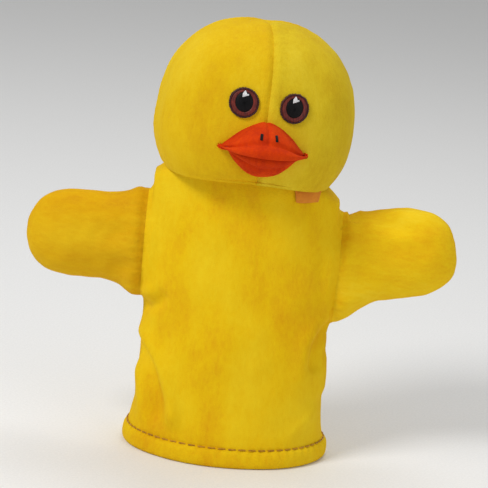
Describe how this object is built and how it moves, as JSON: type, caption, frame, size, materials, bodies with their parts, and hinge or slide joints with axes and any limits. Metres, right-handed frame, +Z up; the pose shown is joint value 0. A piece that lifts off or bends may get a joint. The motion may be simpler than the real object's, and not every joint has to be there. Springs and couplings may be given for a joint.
{
  "type": "plush duck glove puppet",
  "caption": "Soft duck glove puppet with a stuffed head, moving beak, embroidered eyes, mitten arms and a hollow sleeve body with a stitched hem.",
  "frame": {"origin": "centre of the hand opening, in the plane of the hem that the puppet stands on", "axes": "+Z up, the face and beak towards -Y, the puppet's left arm towards +X"},
  "size_m": [0.2475, 0.1159, 0.2504],
  "materials": {
    "body_plush": "short pile plush, golden yellow",
    "head_plush": "short pile plush, golden yellow, nap brushed",
    "beak_plush": "short pile plush, orange",
    "seam_thread": "dull polyester thread",
    "neck_tape": "cotton tape",
    "mouth_cloth": "smooth woven cloth",
    "lining_cloth": "thin woven cotton",
    "fibre_filling": "loose polyester fibre",
    "mouth_board": "flexible sheet",
    "eye_outline_thread": "rayon satin stitch",
    "eye_iris_thread": "rayon satin stitch",
    "eye_pupil_thread": "rayon satin stitch",
    "eye_glint_thread": "rayon satin stitch",
    "nostril_thread": "rayon satin stitch"
  },
  "bodies": {
    "torso": {"body_front": "body_plush", "body_back": "body_plush", "hem_band": "body_plush", "hem_stitches": "seam_thread", "neck_tab": "neck_tape"},
    "neck_turn": {"neck_binding": "neck_tape"},
    "neck_nod": {"head_neck_tape": "neck_tape"},
    "head": {"head_front_left": "head_plush", "head_front_right": "head_plush", "head_back": "head_plush", "head_stuffing": "fibre_filling", "finger_pocket": "lining_cloth", "nostril_stitches": "nostril_thread", "upper_beak_left": "beak_plush", "upper_beak_right": "beak_plush", "upper_beak_padding": "fibre_filling", "upper_mouth_lining": "mouth_cloth", "upper_mouth_board": "mouth_board", "left_eye_outline": "eye_outline_thread", "left_eye_iris": "eye_iris_thread", "left_eye_pupil": "eye_pupil_thread", "left_eye_glint": "eye_glint_thread", "right_eye_outline": "eye_outline_thread", "right_eye_iris": "eye_iris_thread", "right_eye_pupil": "eye_pupil_thread", "right_eye_glint": "eye_glint_thread"},
    "jaw": {"lower_beak": "beak_plush", "lower_beak_padding": "fibre_filling", "lower_mouth_lining": "mouth_cloth", "lower_mouth_board": "mouth_board"},
    "left_arm_root": {"left_armhole_binding": "body_plush"},
    "left_arm": {"left_arm_front": "body_plush", "left_arm_back": "body_plush"},
    "right_arm_root": {"right_armhole_binding": "body_plush"},
    "right_arm": {"right_arm_front": "body_plush", "right_arm_back": "body_plush"}
  },
  "joints": [
    {"name": "head_turn", "type": "hinge", "parent": "torso", "child": "neck_turn", "pos_m": [-0.0046, 0, 0.1], "axis": [0, 0, 1], "range_deg": [-30, 30]},
    {"name": "head_nod", "type": "hinge", "parent": "neck_turn", "child": "neck_nod", "pos_m": [-0.0046, 0, 0.1], "axis": [0.9903, 0.1392, 0], "range_deg": [-12, 18]},
    {"name": "head_tilt", "type": "hinge", "parent": "neck_nod", "child": "head", "pos_m": [-0.0046, 0, 0.1], "axis": [-0.1392, 0.9903, 0], "range_deg": [-10, 6]},
    {"name": "jaw_open", "type": "hinge", "parent": "head", "child": "jaw", "pos_m": [0.0054, -0.03899, 0.18538], "axis": [0.9889, 0.139, -0.0523], "range_deg": [0, 25]},
    {"name": "left_arm_raise", "type": "hinge", "parent": "torso", "child": "left_arm_root", "pos_m": [0.062, 0, 0.119], "axis": [0, -1, 0], "range_deg": [-25, 15]},
    {"name": "left_arm_swing", "type": "hinge", "parent": "left_arm_root", "child": "left_arm", "pos_m": [0.062, 0, 0.119], "axis": [0, 0, -1], "range_deg": [-15, 50]},
    {"name": "right_arm_raise", "type": "hinge", "parent": "torso", "child": "right_arm_root", "pos_m": [-0.062, 0, 0.119], "axis": [0, 1, 0], "range_deg": [-25, 20]},
    {"name": "right_arm_swing", "type": "hinge", "parent": "right_arm_root", "child": "right_arm", "pos_m": [-0.062, 0, 0.119], "axis": [0, 0, 1], "range_deg": [-15, 50]}
  ]
}
